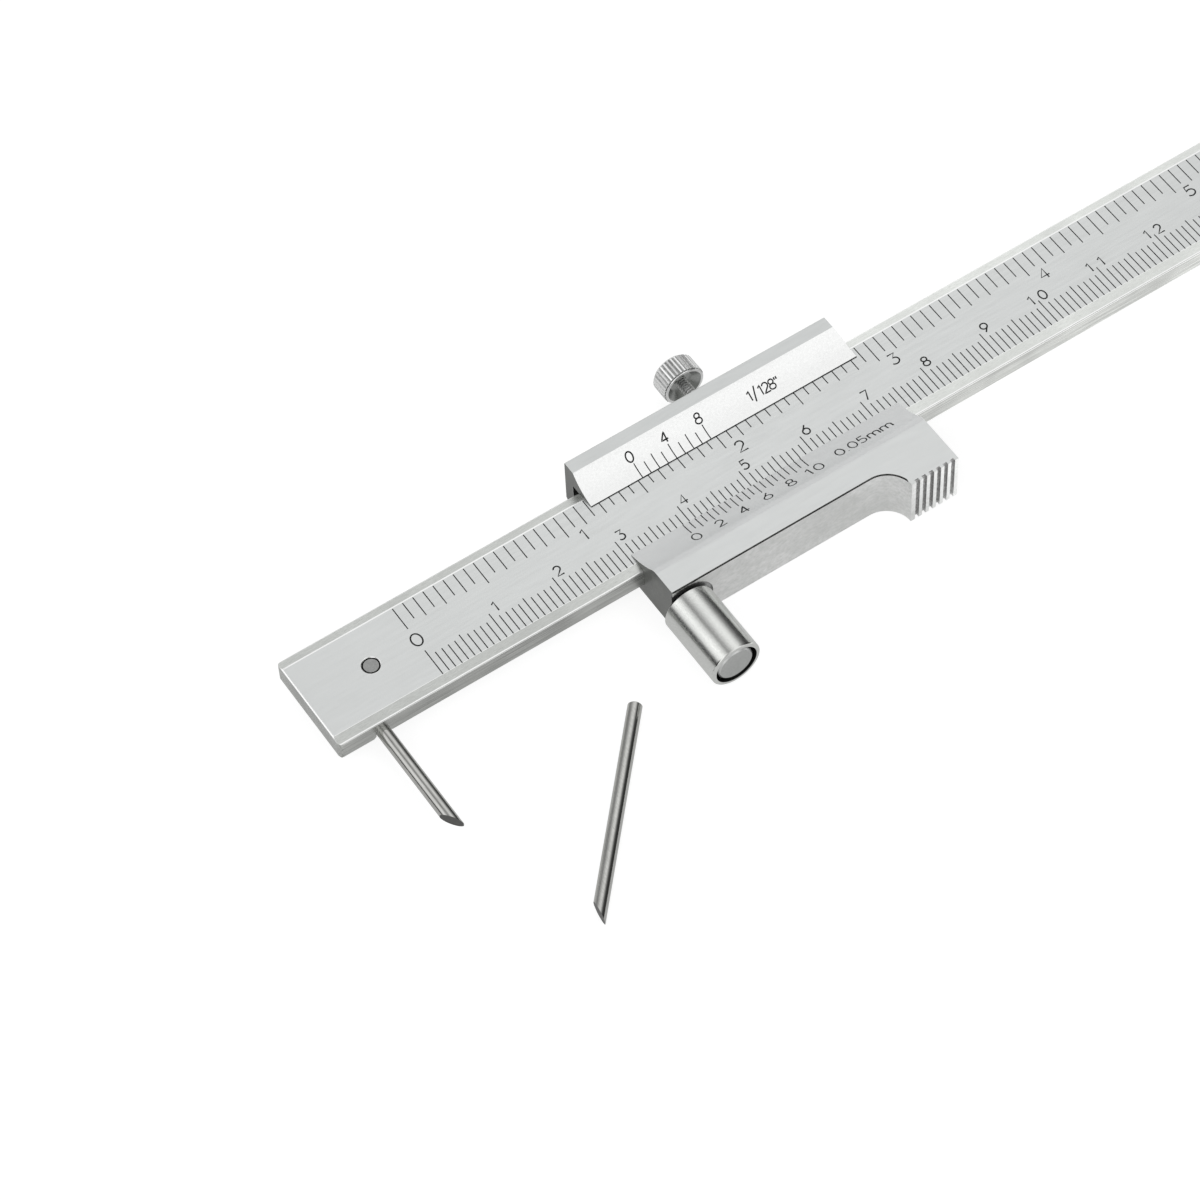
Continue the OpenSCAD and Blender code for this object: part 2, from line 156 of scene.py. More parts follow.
# The light tent: brightness of its panels by the direction's share along X
TENT_PANELS = ((-1.0, 0.05), (-0.87, 0.05), (-0.83, 0.75), (-0.79, 1.05), (-0.64, 1.3), (-0.45, 0.95),
               (-0.22, 0.32), (0.0, 0.67), (0.14, 0.93), (0.36, 1.1), (0.52, 0.95), (0.64, 0.55), (0.74, 0.25),
               (0.84, 0.07), (1.0, 0.05))
TENT_BRIGHTEST = 1.3
TENT_FRONT_GAIN = 1.08

# The table: its painted glow to gloss, brightening over a stretch along X, and its even white to the camera
TABLE_SIZE = 6
TABLE_DROP = 0.02
TABLE_PAINTED_GLOW = (0.45, 1.05)
TABLE_PAINTED_GLOW_X = (12, 26)
TABLE_SEEN = 0.84

# How close a point counts as on an edge
NEAR = 0.01


# ---------------------------------------------------------------- helpers
def deselect_all():
    bpy.ops.object.select_all(action="DESELECT")


def make_active(obj):
    deselect_all()
    obj.select_set(True)
    bpy.context.view_layer.objects.active = obj


def placed(name, data):
    obj = bpy.data.objects.new(name, data)
    bpy.context.scene.collection.objects.link(obj)
    return obj


def merged_copy(node_name, name):
    """A piece with the CAD node's shape, its loose triangles joined into one skin."""
    source = nodes[node_name]
    piece = source.copy()
    piece.data = source.data.copy()
    for key in list(piece.keys()):
        del piece[key]
    piece.name = name
    piece.data.name = name
    piece.parent = None
    bpy.context.scene.collection.objects.link(piece)
    piece.data.materials.clear()
    make_active(piece)
    bpy.ops.object.mode_set(mode="EDIT")
    bpy.ops.mesh.select_all(action="SELECT")
    bpy.ops.mesh.remove_doubles(threshold=0.002 * MM)
    bpy.ops.mesh.dissolve_limited(angle_limit=math.radians(0.2))
    bpy.ops.mesh.normals_make_consistent(inside=False)
    bpy.ops.mesh.customdata_custom_splitnormals_clear()
    bpy.ops.object.mode_set(mode="OBJECT")
    return piece


def apply_modifier(obj, kind, **settings):
    make_active(obj)
    modifier = obj.modifiers.new(kind.lower(), kind)
    for key, value in settings.items():
        setattr(modifier, key, value)
    bpy.ops.object.modifier_apply(modifier=modifier.name)


def cut_away(piece, cutter, crossing_itself=True):
    """Takes the cutter's shape out of the piece; the cut faces keep the cutter's finish."""
    apply_modifier(piece, "BOOLEAN", operation="DIFFERENCE", object=cutter, solver="EXACT",
                   use_self=crossing_itself, material_mode="TRANSFER")
    bpy.data.objects.remove(cutter)


def bevel_all_edges(piece, width, angle):
    """Bevels every edge sharper than the angle, with a painted highlight."""
    apply_modifier(piece, "BEVEL", width=width * MM, segments=2, limit_method="ANGLE",
                   angle_limit=math.radians(angle), use_clamp_overlap=True,
                   material=piece.data.materials.find(painted_edge_highlight.name))


def smooth(obj, angle=30):
    """Smooth shading that leaves the large flat faces flat."""
    make_active(obj)
    bpy.ops.object.shade_smooth_by_angle(angle=math.radians(angle))
    apply_modifier(obj, "WEIGHTED_NORMAL", weight=100, keep_sharp=True)


def bevel_edges(obj, test, width, material, segments=2):
    """Bevels the edges whose ends and middle pass the test, and gives them the material."""
    make_active(obj)
    bpy.ops.object.mode_set(mode="EDIT")
    bpy.ops.mesh.select_mode(type="EDGE")
    bpy.ops.mesh.select_all(action="DESELECT")
    bpy.ops.object.mode_set(mode="OBJECT")
    points = [v.co / MM for v in obj.data.vertices]
    for edge in obj.data.edges:
        start, end = (points[v] for v in edge.vertices)
        edge.select = test(start) and test(end) and test((start + end) / 2)
    bpy.ops.object.mode_set(mode="EDIT")
    bpy.ops.mesh.bevel(offset=width * MM, segments=segments,
                       material=obj.data.materials.find(material.name))
    bpy.ops.object.mode_set(mode="OBJECT")


def finish_faces(obj, rules, otherwise):
    """Gives each face the finish of the first rule that holds for its middle and normal."""
    names = [m.name for m in obj.data.materials]

    def slot_of(material):
        if material.name not in names:
            obj.data.materials.append(material)
            names.append(material.name)
        return names.index(material.name)

    for face in obj.data.polygons:
        middle = Vector(face.center) / MM
        material = next((m for m, test in rules if test(middle, face.normal)), otherwise)
        face.material_index = slot_of(material)


# ---------------------------------------------------------------- finishes, painted shade and highlights among them
def new_material(name):
    material = bpy.data.materials.new(name)
    material.use_nodes = True
    tree = material.node_tree
    return material, tree, tree.nodes["Principled BSDF"]


def millimetre_coordinates(tree, stretch=(1, 1, 1)):
    """Object coordinates in millimetres, divided by the length of the grain on each axis."""
    place = tree.nodes.new("ShaderNodeTexCoord")
    scale = tree.nodes.new("ShaderNodeMapping")
    scale.inputs["Scale"].default_value = [1 / MM / s for s in stretch]
    tree.links.new(place.outputs["Object"], scale.inputs["Vector"])
    return scale.outputs["Vector"]


def noise(tree, vector, scale=1.0, detail=4.0, rough=0.6):
    texture = tree.nodes.new("ShaderNodeTexNoise")
    texture.inputs["Scale"].default_value = scale
    texture.inputs["Detail"].default_value = detail
    texture.inputs["Roughness"].default_value = rough
    tree.links.new(vector, texture.inputs["Vector"])
    return texture.outputs["Fac"]


def spread(tree, value, low, high, at=(0.3, 0.7)):
    """The value's usual range at, spread over low to high."""
    ranged = tree.nodes.new("ShaderNodeMapRange")
    ranged.inputs["From Min"].default_value, ranged.inputs["From Max"].default_value = at
    ranged.inputs["To Min"].default_value, ranged.inputs["To Max"].default_value = low, high
    tree.links.new(value, ranged.inputs["Value"])
    return ranged.outputs["Result"]


def blend(tree, share, one, other):
    mix = tree.nodes.new("ShaderNodeMix")
    mix.data_type = "RGBA"
    tree.links.new(share, mix.inputs["Factor"])
    for socket, colour in ((mix.inputs["A"], one), (mix.inputs["B"], other)):
        if isinstance(colour, tuple):
            socket.default_value = (*colour, 1)
        else:
            tree.links.new(colour, socket)
    return mix.outputs["Result"]


def steel(name, colour, roughness, grain, depth=0.004, contrast=0.06, clouds=0.04, rough_range=0.06,
          painted_far_sheen=1.0):
    """Steel with a grain, its length in millimetres along X, Y and Z. depth is the height of the grain,
    contrast and clouds are how far the tone strays by grain and by patch, and the last argument is a
    painted sheen: how much brighter the colour is painted at the far end of the beam."""
    material, tree, shader = new_material(name)
    lines = noise(tree, millimetre_coordinates(tree, grain), detail=5.0)
    patches = noise(tree, millimetre_coordinates(tree, (9, 6, 6)), detail=2.0)
    light = tuple(min(1.0, c * (1 + contrast)) for c in colour)
    dark = tuple(c * (1 - contrast) for c in colour)
    worn = tuple(c * (1 - contrast - clouds) for c in colour)
    grained = blend(tree, spread(tree, lines, 0, 1), dark, light)
    shader.inputs["Metallic"].default_value = 1.0
    tone = blend(tree, spread(tree, patches, 0, 0.5), grained, worn)
    # Painted sheen: the colour is scaled brighter towards the beam's far end, standing in for brighter
    # reflections there.
    if painted_far_sheen != 1.0:
        parts = tree.nodes.new("ShaderNodeSeparateXYZ")
        tree.links.new(millimetre_coordinates(tree), parts.inputs["Vector"])
        painted_sheen = tree.nodes.new("ShaderNodeVectorMath")
        painted_sheen.operation = "SCALE"
        tree.links.new(tone, painted_sheen.inputs[0])
        tree.links.new(spread(tree, parts.outputs["X"], 1.0, painted_far_sheen, (-40, 24)), painted_sheen.inputs["Scale"])
        tone = painted_sheen.outputs["Vector"]
    tree.links.new(tone, shader.inputs["Base Color"])
    tree.links.new(spread(tree, lines, roughness - rough_range, roughness + rough_range),
                   shader.inputs["Roughness"])
    bump = tree.nodes.new("ShaderNodeBump")
    bump.inputs["Strength"].default_value = 1.0
    bump.inputs["Distance"].default_value = depth * MM
    tree.links.new(lines, bump.inputs["Height"])
    tree.links.new(bump.outputs["Normal"], shader.inputs["Normal"])
    return material


def engraver_paint():
    """The dark fill of the engraved lines."""
    material, tree, shader = new_material("engraver_paint")
    specks = noise(tree, millimetre_coordinates(tree, (0.12, 0.12, 0.12)))
    tree.links.new(blend(tree, spread(tree, specks, 0, 1), (0.012, 0.013, 0.013), (0.035, 0.037, 0.037)),
                   shader.inputs["Base Color"])
    tree.links.new(spread(tree, specks, 0.6, 0.85), shader.inputs["Roughness"])
    shader.inputs["Specular IOR Level"].default_value = 0.25
    return material


satin_face = steel("satin_face", (0.7, 0.715, 0.71), 0.34, (5, 0.35, 0.35), 0.0015, 0.015, 0.02)
rail_face = steel("rail_face", (0.645, 0.66, 0.655), 0.34, (5, 0.35, 0.35), 0.0015, 0.015, 0.02)
# The beam's bevels: ground grain, with a painted sheen that brightens them towards the far end.
ground_bevel_painted_sheen = steel("ground_bevel_painted_sheen", (0.62, 0.635, 0.615), 0.34, (0.7, 0.14, 0.2), 0.005, 0.2, 0.06, 0.08,
                     painted_far_sheen=1.34)
ground_side = steel("ground_side", (0.57, 0.58, 0.56), 0.32, (16, 0.1, 0.2), 0.008, 0.42, 0.1, 0.1)
ground_back = steel("ground_back", (0.66, 0.67, 0.66), 0.36, (6, 0.15, 0.2), 0.003, 0.05, 0.05)
ground_end = steel("ground_end", (0.46, 0.47, 0.46), 0.38, (0.4, 0.3, 0.3), 0.005, 0.22, 0.14, 0.08)
# The jaw's left end: the ground end finish darkened as painted shade.
jaw_end_painted_shade = steel("jaw_end_painted_shade", (0.24, 0.245, 0.235), 0.38, (0.4, 0.3, 0.3), 0.005, 0.3, 0.14, 0.08)
vernier_face = steel("vernier_face", (0.925, 0.93, 0.925), 0.3, (0.3, 0.3, 0.3), 0.0008, 0.01, 0.01)
hollow_face = steel("hollow_face", (0.77, 0.78, 0.78), 0.55, (3, 0.3, 0.3), 0.0015, 0.02, 0.02)
blotchy_side = steel("blotchy_side", (0.88, 0.895, 0.875), 0.4, (0.7, 0.5, 0.5), 0.006, 0.14, 0.12, 0.1)
# Painted highlight: near white, for the narrow bevels that run along edges.
painted_edge_highlight = steel("painted_edge_highlight", (0.95, 0.955, 0.95), 0.28, (1.5, 0.2, 0.2), 0.002, 0.05, 0.02)
# Painted shadow: near black and mottled, along the jaw's front edge.
painted_edge_shadow = steel("painted_edge_shadow", (0.075, 0.075, 0.072), 0.45, (0.9, 0.2, 0.2), 0.006, 0.9, 0.05, 0.1)
# Painted shade: near black, for the gaps, recesses, hole walls and edges that lie in shadow.
painted_deep_shade = steel("painted_deep_shade", (0.04, 0.042, 0.04), 0.6, (0.4, 0.2, 0.2), 0.004, 0.3, 0.2)
pocket_wall = steel("pocket_wall", (0.6, 0.605, 0.6), 0.5, (0.3, 0.3, 0.3), 0.004, 0.4, 0.2)
# The thumb rest's grooves: the side's finish darkened as painted shade.
rest_groove_painted_shade = steel("rest_groove_painted_shade", (0.72, 0.725, 0.71), 0.5, (0.25, 0.25, 0.4), 0.008, 0.5, 0.2)
# The knob's flutes: darker than its lands as painted shade.
flute_painted_shade = steel("flute_painted_shade", (0.66, 0.665, 0.66), 0.4, (0.2, 0.4, 0.2), 0.003, 0.35, 0.1)
knob_land = steel("knob_land", (0.99, 0.995, 0.99), 0.36, (0.2, 0.4, 0.2), 0.003, 0.05, 0.02)
# The thread's roots: darker than the stud's crests as painted shade.
thread_root_painted_shade = steel("thread_root_painted_shade", (0.6, 0.605, 0.6), 0.4, (0.3, 0.3, 0.3), 0.003, 0.2, 0.1)
engraved = engraver_paint()
roller_finish = steel("roller_finish", (0.74, 0.75, 0.73), 0.17, (0.12, 0.25, 0.12), 0.0026, 0.13, 0.03, 0.06)
needle_finish = steel("needle_finish", (0.55, 0.55, 0.53), 0.11, (0.07, 1.2, 0.07), 0.0015, 0.22, 0.06, 0.04)
ground_point = steel("ground_point", (0.13, 0.13, 0.125), 0.4, (0.15, 0.4, 0.15), 0.003, 0.25, 0.1)
turned_bright = steel("turned_bright", (0.95, 0.955, 0.95), 0.38, (0.5, 0.05, 0.5), 0.003, 0.08, 0.03)
pin_face = steel("pin_face", (0.54, 0.55, 0.54), 0.36, (0.25, 0.25, 0.25), 0.004, 0.14, 0.05)
dull_screw = steel("dull_screw", (0.36, 0.365, 0.36), 0.42, (0.25, 0.25, 0.25), 0.004, 0.2, 0.12)
dished_face = steel("dished_face", (0.42, 0.43, 0.42), 0.3, (0.4, 0.4, 0.4), 0.003, 0.12, 0.06)
# The gib strip, seen only through the gap: near black as painted shade.
painted_shade_strip = steel("painted_shade_strip", (0.08, 0.08, 0.08), 0.5, (1.5, 0.2, 0.2), 0.003, 0.1, 0.1)


# ---------------------------------------------------------------- engraving
def arc(cx, cy, rx, ry, start, end, steps=12):
    """Points of an elliptical arc, angles in degrees."""
    turns = [math.radians(start + (end - start) * i / steps) for i in range(steps + 1)]
    return [(cx + rx * math.cos(t), cy + ry * math.sin(t)) for t in turns]


# Strokes of each character: height 1 above the baseline, width about 0.66, starting at x 0
GLYPHS = {
    "0": [arc(0.34, 0.5, 0.34, 0.5, 90, 450, 24)],
    "1": [[(0.1, 0.8), (0.36, 1.0), (0.36, 0.0)]],
    "2": [arc(0.33, 0.7, 0.3, 0.3, 165, -38, 12) + [(0.02, 0.0), (0.68, 0.0)]],
    "3": [[(0.05, 1.0), (0.6, 1.0), (0.3, 0.61)] + arc(0.31, 0.31, 0.33, 0.31, 85, -145, 12)],
    "4": [[(0.5, 0.0), (0.5, 1.0), (0.0, 0.28), (0.7, 0.28)]],
    "5": [[(0.6, 1.0), (0.14, 1.0), (0.08, 0.53)] + arc(0.31, 0.32, 0.34, 0.32, 120, -145, 14)],
    "6": [[(0.52, 1.0), (0.14, 0.55)] + arc(0.34, 0.32, 0.33, 0.32, 135, 495, 20)],
    "7": [[(0.02, 1.0), (0.66, 1.0), (0.24, 0.0)]],
    "8": [arc(0.34, 0.76, 0.26, 0.24, -90, 270, 16), arc(0.34, 0.27, 0.33, 0.27, 90, 450, 18)],
    "9": [[(0.16, 0.0), (0.54, 0.45)] + arc(0.34, 0.68, 0.33, 0.32, -45, 315, 20)],
    ".": [[(0.1, 0.0), (0.1, 0.08)]],
    "/": [[(0.0, -0.25), (0.42, 1.25)]],
    "m": [[(0.0, 0.0), (0.0, 0.68)],
          [(0.0, 0.36)] + arc(0.25, 0.46, 0.25, 0.22, 180, 0, 8) + [(0.5, 0.0)],
          [(0.5, 0.36)] + arc(0.75, 0.46, 0.25, 0.22, 180, 0, 8) + [(1.0, 0.0)]],
    '"': [[(0.0, 1.0), (0.0, 0.72)], [(0.22, 1.0), (0.22, 0.72)]],
}
GLYPH_WIDTHS = {".": 0.2, "/": 0.42, "m": 1.0, '"': 0.22, "1": 0.46}


def character(name, centre_x, centre_y, height, width_share=1.0):
    """The strokes of one character about its centre, in the flat plan of its surface."""
    half = GLYPH_WIDTHS.get(name, 0.68) / 2
    return [[(centre_x + (x - half) * height * width_share, centre_y + (y - 0.5) * height)
             for x, y in stroke] for stroke in GLYPHS[name]]


def word(text, left, centre_y, height, pitch):
    """Characters at an even pitch; pitch gives the room of each one."""
    strokes, x = [], left
    for name in text:
        room = pitch.get(name, pitch["digit"])
        strokes += character(name, x + room / 2, centre_y, height)
        x += room
    return strokes


def on_beam(x, y, lift):
    """A point of the beam's flat front face, raised by lift."""
    return (x, y, BEAM_FRONT + lift)


def on_slope(slope):
    """A function that lays plan points on a hollow slope: y is the way along its arc from the lip."""
    rise = SLIDER_FRONT - LIP_TOP
    chord = math.hypot(slope["width"], rise)
    height = math.sqrt(slope["radius"] ** 2 - chord ** 2 / 4)
    middle_y = slope["lip_y"] + slope["side"] * slope["width"] / 2
    centre_y = middle_y - slope["side"] * height * rise / chord
    centre_z = LIP_TOP + rise / 2 + height * slope["width"] / chord
    start = math.atan2(LIP_TOP - centre_z, slope["lip_y"] - centre_y)

    def place(x, y, lift):
        angle = start + slope["side"] * y / slope["radius"]
        reach = slope["radius"] - lift
        return (x, centre_y + reach * math.cos(angle), centre_z + reach * math.sin(angle))
    return place


def in_short_steps(stroke):
    """The same stroke in steps short enough to follow a hollow surface."""
    points = [stroke[0]]
    for start, end in zip(stroke, stroke[1:]):
        steps = max(1, math.ceil(math.dist(start, end) / STROKE_STEP))
        points += [(start[0] + (end[0] - start[0]) * i / steps, start[1] + (end[1] - start[1]) * i / steps)
                   for i in range(1, steps + 1)]
    return points


def stroke_cutter(name, strokes, place, width):
    """Round cutters along the strokes, sunk so that each cut has the width and CUT_DEPTH."""
    radius = (width ** 2 / 4 + CUT_DEPTH ** 2) / (2 * CUT_DEPTH)
    curve = bpy.data.curves.new(name, "CURVE")
    curve.dimensions = "3D"
    curve.bevel_depth = radius * MM
    curve.bevel_resolution = 2
    curve.use_fill_caps = True
    for stroke in strokes:
        closed = len(stroke) > 3 and math.dist(stroke[0], stroke[-1]) < 1e-6
        points = stroke[:-1] if closed else stroke
        spline = curve.splines.new("POLY")
        spline.points.add(len(points) - 1)
        spline.use_cyclic_u = closed
        for point, (x, y) in zip(spline.points, points):
            point.co = (*(Vector(place(x, y, radius - CUT_DEPTH)) * MM), 1)
    cutter = placed(name, curve)
    make_active(cutter)
    bpy.ops.object.convert(target="MESH")
    cutter = bpy.context.view_layer.objects.active
    cutter.data.materials.clear()
    cutter.data.materials.append(engraved)
    return cutter


def engrave(piece, cutters, untouched=lambda p: False):
    """Cuts the grooves. The faces between them keep the smooth shading of the uncut piece, which is
    not needed where a point is untouched."""
    uncut = piece.copy()
    uncut.data = piece.data.copy()
    bpy.context.scene.collection.objects.link(uncut)
    for cutter in cutters:
        cut_away(piece, cutter)
    area = piece.vertex_groups.new(name="engraved_area")
    area.add([v.index for v in piece.data.vertices if not untouched(v.co / MM)], 1.0, "REPLACE")
    apply_modifier(piece, "DATA_TRANSFER", object=uncut, use_loop_data=True, vertex_group=area.name,
                   data_types_loops={"CUSTOM_NORMAL"}, loop_mapping="POLYINTERP_NEAREST")
    bpy.data.objects.remove(uncut)


# ---------------------------------------------------------------- the beam and its scales
def metric_scale():
    ticks = []
    for i in range(METRIC_TICKS + 1):
        step = next(s for s in METRIC_TICK_TOPS if i % s == 0)
        ticks.append([(ZERO_X + i, -FLAT_EDGE), (ZERO_X + i, METRIC_TICK_TOPS[step])])
    return ticks


def inch_scale():
    ticks = []
    for i in range(INCH_TICKS + 1):
        step = next(s for s in INCH_TICK_ENDS if i % s == 0)
        x = ZERO_X + i * SIXTEENTH
        ticks.append([(x, INCH_TICK_START), (x, INCH_TICK_ENDS[step])])
    return ticks


def beam_numerals():
    strokes = character("0", *COMMON_ZERO, COMMON_ZERO_HEIGHT, INCH_NUMERAL_WIDTH_SHARE)
    for i in range(1, METRIC_TICKS // 10 + 1):
        x, digits = ZERO_X + 10 * i, str(i)
        shifts = METRIC_TENS_SHIFT if len(digits) == 2 else (METRIC_NUMERAL_SHIFT,)
        for digit, shift in zip(digits, shifts):
            strokes += character(digit, x + shift, METRIC_NUMERAL_Y, METRIC_NUMERAL_HEIGHT)
    for i in range(1, INCH_TICKS // 16 + 1):
        strokes += character(str(i), ZERO_X + INCH * i + INCH_NUMERAL_SHIFT, INCH_NUMERAL_Y,
                             INCH_NUMERAL_HEIGHT, INCH_NUMERAL_WIDTH_SHARE)
    return strokes


def corner_cutter(side):
    """An upright prism that leaves the corner of the beam's left end rounded in plan."""
    middle_x, middle_y = LEFT_END + END_CORNER_RADIUS, BEAM_EDGE - END_CORNER_RADIUS
    outline = [(middle_x, BEAM_EDGE + 1), (LEFT_END - 1, BEAM_EDGE + 1), (LEFT_END - 1, middle_y)]
    outline += arc(middle_x, middle_y, END_CORNER_RADIUS, END_CORNER_RADIUS, 180, 90, 10)
    mesh = bpy.data.meshes.new("corner_cutter")
    mesh.from_pydata([(x * MM, side * y * MM, 0) for x, y in outline], [], [range(len(outline))])
    mesh.materials.append(ground_side)
    cutter = placed("corner_cutter", mesh)
    make_active(cutter)
    bpy.ops.object.mode_set(mode="EDIT")
    bpy.ops.mesh.select_all(action="SELECT")
    bpy.ops.mesh.extrude_region_move(TRANSFORM_OT_translate={"value": (0, 0, CORNER_CUTTER_HEIGHT * MM)})
    bpy.ops.mesh.select_all(action="SELECT")
    bpy.ops.mesh.normals_make_consistent(inside=False)
    bpy.ops.object.mode_set(mode="OBJECT")
    return cutter


def flatten_end_chamfer(piece):
    """Gives the front edge of the beam's left end a narrow chamfer, shallow enough to look bright; its colour
    is a painted highlight as well.
    """
    width, depth = END_CHAMFER
    for vertex in piece.data.vertices:
        x, y, z = vertex.co / MM
        side = 1 if y > 0 else -1
        if x < LEFT_END + 0.3 and z > BEAM_FRONT - NEAR:
            vertex.co.x = (LEFT_END + width) * MM
        elif x < LEFT_END + NEAR and z > BEVEL_FOOT[1] + NEAR:
            vertex.co.y = side * (FLAT_EDGE + depth / BEVEL_SLOPE) * MM
            vertex.co.z = (BEAM_FRONT - depth) * MM


def round_left_corners(piece):
    """Rounds the left corners in plan. The cut across keeps them apart from the long faces."""
    for side in (-1, 1):
        cut_away(piece, corner_cutter(side), crossing_itself=False)
    make_active(piece)
    bpy.ops.object.mode_set(mode="EDIT")
    bpy.ops.mesh.select_all(action="SELECT")
    bpy.ops.mesh.bisect(plane_co=((LEFT_END + 2 * END_CORNER_RADIUS) * MM, 0, 0), plane_no=(1, 0, 0))
    bpy.ops.object.mode_set(mode="OBJECT")


def graduated_beam():
    piece = merged_copy("beam", "graduated_beam")
    finish_faces(piece, [
        (satin_face, lambda p, n: n.z > 0.999),
        (ground_bevel_painted_sheen, lambda p, n: n.z > 0.9 and abs(n.y) > 0.1),
        (ground_back, lambda p, n: n.z < -0.9),
        # Painted shade on the walls of the hole above the clamp screw.
        (painted_deep_shade, lambda p, n: abs(n.z) < 0.1 and math.dist(p.xy, CLAMP_HOLE) < CLAMP_HOLE_REACH),
        # Painted highlight on the end chamfer.
        (painted_edge_highlight, lambda p, n: n.z > 0.5 and abs(n.y) < 0.6),
    ], ground_side)
    flatten_end_chamfer(piece)
    # Painted highlight lines along the edge of the flat and the foot of the lower bevel.
    bevel_edges(piece, lambda p: abs(p.y - FLAT_EDGE) < NEAR and p.z > BEAM_FRONT - NEAR,
                FLAT_LINE_WIDTH, painted_edge_highlight)
    bevel_edges(piece, lambda p: abs(p.y - BEVEL_FOOT[0]) < NEAR and abs(p.z - BEVEL_FOOT[1]) < NEAR,
                FOOT_LINE_WIDTH, painted_edge_highlight)
    bevel_all_edges(piece, BEAM_EDGE_WIDTH, 12)
    round_left_corners(piece)
    smooth(piece)
    engrave(piece, [
        stroke_cutter("ticks", metric_scale() + inch_scale(), on_beam, TICK_WIDTH),
        stroke_cutter("numerals", beam_numerals(), on_beam, NUMERAL_WIDTH),
    ], lambda p: p.x < LEFT_END + 2 * END_CORNER_RADIUS + NEAR and abs(p.y) > FLAT_EDGE - 0.2)
    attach(piece, "beam")
    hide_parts("beam")


# ---------------------------------------------------------------- the slider and its verniers
def vernier_ticks(step, count, lengths):
    """Ticks from the lip's edge up the slope."""
    ticks = []
    for i in range(count + 1):
        x, length = VERNIER_ZERO_X + i * step, lengths[i % 2]
        ticks.append([(x, TICK_START), (x, length)])
    return ticks


def in_rest_groove(p, n):
    """On a wall or the floor of a groove in the thumb rest."""
    wall = abs(n.x) > 0.9 and p.x < REST_END_X
    floor = n.y < -0.9 and p.y > GROOVE_FLOOR_Y
    return p.y < REST_START_Y and p.x > REST_START_X and (wall or floor)


def in_channel(p, n):
    """In the channel that the beam runs through."""
    return CHANNEL_Y[0] < p.y < CHANNEL_Y[1] and CHANNEL_Z[0] < p.z < CHANNEL_Z[1]


def round_the_roller(p, n):
    """On the wall of the spot face behind the roller."""
    return JAW_FRONT + NEAR < p.y < -9 and math.dist((p.x, p.z), ROLLER_AXIS) < POCKET_RADIUS


def slider_finishes():
    """The finish of each kind of face of the slider, the first that fits counting."""
    upper_lip, lower_lip = UPPER_SLOPE["lip_y"], LOWER_SLOPE["lip_y"]
    front = SLIDER_FRONT - 0.1
    return [
        (vernier_face, lambda p, n: n.z > 0.5 and upper_lip < p.y < UPPER_SLOPE_TOP and p.z > LIP_UNDER),
        (hollow_face, lambda p, n: n.z > 0.5 and SLOPE_TOP < p.y < lower_lip and p.z > LIP_UNDER),
        (rail_face, lambda p, n: n.z > 0.9 and p.z > front and p.y > 0),
        (satin_face, lambda p, n: n.z > 0.9 and p.z > front),
        # Painted shadow on the lip's front face.
        (painted_deep_shade, lambda p, n: n.y < -0.9 and abs(p.y - upper_lip) < 0.05),
        (ground_back, lambda p, n: n.z < -0.9 and p.z < 0.1),
        # Painted shade in the thumb rest's grooves.
        (rest_groove_painted_shade, in_rest_groove),
        # Painted shade in the channel that the beam runs through.
        (painted_deep_shade, in_channel),
        (pocket_wall, round_the_roller),
        (blotchy_side, lambda p, n: (n.y < -0.3 or n.x < -0.9 and p.x > 10) and p.y < JAW_FRONT + 0.7),
        # Painted shade on the jaw's left end.
        (jaw_end_painted_shade, lambda p, n: n.x < -0.9 and p.x < -SLIDER_END_X and p.y < 0),
        (ground_end, lambda p, n: abs(n.x) > 0.9 and abs(p.x) > SLIDER_END_X),
    ]


def bevel_slider(piece):
    """A painted shadow along the jaw's front edge, a painted shadow along the lip edge, the soft seam
    above the lower slope, and a fine bevel with a painted highlight on what is left."""
    def on_front(p):
        return p.z > SLIDER_FRONT - NEAR

    bevel_edges(piece, lambda p: on_front(p) and EDGE_SHADOW_Y[0] < p.y < EDGE_SHADOW_Y[1] and p.x < EDGE_SHADOW_X,
                EDGE_SHADOW_WIDTH, painted_edge_shadow)
    bevel_edges(piece, lambda p: abs(p.y - UPPER_SLOPE["lip_y"]) < NEAR and abs(p.z - LIP_TOP) < NEAR,
                LIP_BEVEL_WIDTH, painted_deep_shade)
    bevel_edges(piece, lambda p: on_front(p) and abs(p.y - SLOPE_TOP) < NEAR, SEAM_WIDTH, hollow_face,
                segments=5)
    bevel_all_edges(piece, SLIDER_EDGE_WIDTH, 50)


def inch_vernier_numerals():
    strokes = []
    for name, x in INCH_VERNIER_NUMERALS.items():
        strokes += character(name, x, INCH_VERNIER_NUMERAL_ARC, INCH_VERNIER_NUMERAL_HEIGHT)
    return strokes + word(*INCH_LEGEND)


def metric_vernier_numerals():
    strokes = []
    for name, x in METRIC_VERNIER_NUMERALS:
        strokes += character(name, x, -METRIC_VERNIER_NUMERAL_ARC, METRIC_VERNIER_NUMERAL_HEIGHT)
    return strokes + word(*METRIC_LEGEND)


